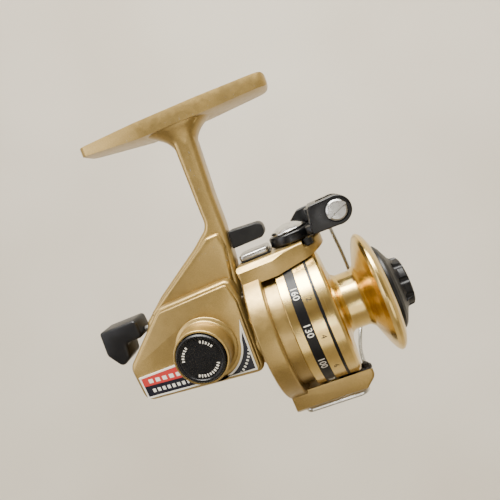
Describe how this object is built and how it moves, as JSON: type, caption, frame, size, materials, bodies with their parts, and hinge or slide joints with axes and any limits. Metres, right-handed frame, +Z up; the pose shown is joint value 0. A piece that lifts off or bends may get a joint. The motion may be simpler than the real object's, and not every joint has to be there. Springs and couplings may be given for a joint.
{
  "type": "spinning reel",
  "caption": "Small gold fixed-spool spinning fishing reel with a foot, rotor, bail, front-drag spool and folding-style crank.",
  "frame": {"origin": "middle of the foot's top face, where it meets the rod's reel seat", "axes": "+X forward along the main shaft to the spool, +Y to the handle side, +Z up to the rod"},
  "size_m": [0.0901, 0.0792, 0.0937],
  "materials": {
    "anti_reverse_lever": "satin black",
    "anti_reverse_rod": "machined",
    "bail_arm": "satin black",
    "bail_spring": "machined",
    "bail_wire": "bright plated",
    "bearing_clip": "machined",
    "blank_cap": "gloss",
    "cover_screw_1": "bright plated",
    "cover_screw_2": "bright plated",
    "cover_screw_3": "bright plated",
    "crank_arm": "bright plated",
    "crank_hub": "satin black",
    "crank_screw": "bright plated",
    "crosshead": "machined",
    "crosshead_screw": "machined",
    "drag_clip": "machined",
    "drag_disc_1": "machined",
    "drag_felt_1": "felt",
    "drag_felt_2": "felt",
    "drag_knob": "gloss",
    "drag_spring": "machined",
    "drive_gear": "machined",
    "drive_shaft": "machined",
    "far_bush": "machined",
    "guide_rod": "machined",
    "handle_knob": "gloss",
    "knob_spindle": "bright plated",
    "label_plate": "printed",
    "line_roller": "bright plated",
    "lower_arm_cover": "bright plated",
    "lower_bail_lever": "satin dark grey",
    "lower_pivot_screw": "bright plated",
    "main_shaft": "machined",
    "near_bush": "machined",
    "oscillation_driver": "machined",
    "oscillation_gear": "machined",
    "oscillation_post": "machined",
    "pawl": "machined",
    "pawl_post": "machined",
    "pinion_bearing": "machined",
    "pinion_gear": "machined",
    "pivot_bush": "machined",
    "pivot_screw": "bright plated",
    "ratchet_wheel": "machined",
    "reel_body": "satin metallic gold paint",
    "roller_screw": "bright plated",
    "rotor": "satin metallic gold paint",
    "rotor_nut": "bright plated",
    "side_cover": "satin metallic gold paint",
    "spool": "polished gold anodising",
    "spool_washer": "matt",
    "stop_buffer": "matt",
    "trip_bumper": "matt",
    "upper_arm_cover": "bright plated"
  },
  "bodies": {
    "frame": {"reel_body": "reel_body", "side_cover": "side_cover", "cover_screw_1": "cover_screw_1", "cover_screw_2": "cover_screw_2", "cover_screw_3": "cover_screw_3", "label_plate": "label_plate", "blank_cap": "blank_cap", "near_bush": "near_bush", "far_bush": "far_bush", "pinion_bearing": "pinion_bearing", "bearing_clip": "bearing_clip", "oscillation_post": "oscillation_post", "guide_rod": "guide_rod", "pawl_post": "pawl_post", "trip_bumper": "trip_bumper"},
    "crank": {"drive_gear": "drive_gear", "drive_shaft": "drive_shaft", "oscillation_driver": "oscillation_driver", "crank_hub": "crank_hub", "crank_screw": "crank_screw", "crank_arm": "crank_arm", "knob_spindle": "knob_spindle"},
    "grip": {"handle_knob": "handle_knob"},
    "oscillator": {"oscillation_gear": "oscillation_gear"},
    "rotor": {"rotor": "rotor", "pinion_gear": "pinion_gear", "rotor_nut": "rotor_nut", "ratchet_wheel": "ratchet_wheel", "upper_arm_cover": "upper_arm_cover", "lower_arm_cover": "lower_arm_cover", "pivot_bush": "pivot_bush", "pivot_screw": "pivot_screw", "lower_pivot_screw": "lower_pivot_screw", "bail_spring": "bail_spring", "stop_buffer": "stop_buffer"},
    "bail": {"bail_arm": "bail_arm", "bail_wire": "bail_wire", "lower_bail_lever": "lower_bail_lever", "roller_screw": "roller_screw"},
    "roller": {"line_roller": "line_roller"},
    "shaft": {"main_shaft": "main_shaft", "crosshead": "crosshead", "crosshead_screw": "crosshead_screw", "spool_washer": "spool_washer"},
    "spool": {"spool": "spool", "drag_felt_1": "drag_felt_1", "drag_disc_1": "drag_disc_1", "drag_felt_2": "drag_felt_2", "drag_clip": "drag_clip"},
    "drag_knob": {"drag_knob": "drag_knob", "drag_spring": "drag_spring"},
    "anti_reverse": {"anti_reverse_lever": "anti_reverse_lever", "anti_reverse_rod": "anti_reverse_rod"},
    "pawl": {"pawl": "pawl"}
  },
  "joints": [
    {"name": "crank_turn", "type": "hinge", "parent": "frame", "child": "crank", "pos_m": [-0.0149, 0, -0.0632], "axis": [0, 1, 0], "continuous": true},
    {"name": "knob_spin", "type": "hinge", "parent": "crank", "child": "grip", "pos_m": [0.02073, 0, -0.07906], "axis": [0, 1, 0], "continuous": true},
    {"name": "rotor_spin", "type": "hinge", "parent": "frame", "child": "rotor", "pos_m": [0.0074, 0, -0.0683], "axis": [1, 0, 0], "continuous": true},
    {"name": "oscillation_spin", "type": "hinge", "parent": "frame", "child": "oscillator", "pos_m": [-0.0259, 0, -0.0632], "axis": [0, 1, 0], "continuous": true},
    {"name": "shaft_slide", "type": "slide", "parent": "frame", "child": "shaft", "axis": [1, 0, 0], "range_m": [0, 0.0066]},
    {"name": "spool_spin", "type": "hinge", "parent": "shaft", "child": "spool", "pos_m": [0.0074, 0, -0.0683], "axis": [1, 0, 0], "continuous": true},
    {"name": "drag_knob_turn", "type": "hinge", "parent": "shaft", "child": "drag_knob", "pos_m": [0.0074, 0, -0.0683], "axis": [1, 0, 0], "range_deg": [-360, 720]},
    {"name": "bail_swing", "type": "hinge", "parent": "rotor", "child": "bail", "pos_m": [0.0179, 0, -0.0683], "axis": [0, 0, 1], "range_deg": [-90, 0]},
    {"name": "line_roller_spin", "type": "hinge", "parent": "bail", "child": "roller", "pos_m": [0.0316, -0.0042, -0.0416], "axis": [0, 1, 0], "continuous": true},
    {"name": "anti_reverse_turn", "type": "hinge", "parent": "frame", "child": "anti_reverse", "pos_m": [0.0074, 0, -0.0543], "axis": [-1, 0, 0], "range_deg": [0, 28]},
    {"name": "pawl_swing", "type": "hinge", "parent": "frame", "child": "pawl", "pos_m": [0.0095, -0.0085, -0.0598], "axis": [-1, 0, 0], "range_deg": [0, 14]}
  ],
  "couplings": [
    {"joint": "rotor_spin", "follows": "crank_turn", "ratio": -5},
    {"joint": "oscillation_spin", "follows": "crank_turn", "ratio": -0.66667},
    {"joint": "pawl_swing", "follows": "anti_reverse_turn", "ratio": 0.5}
  ]
}
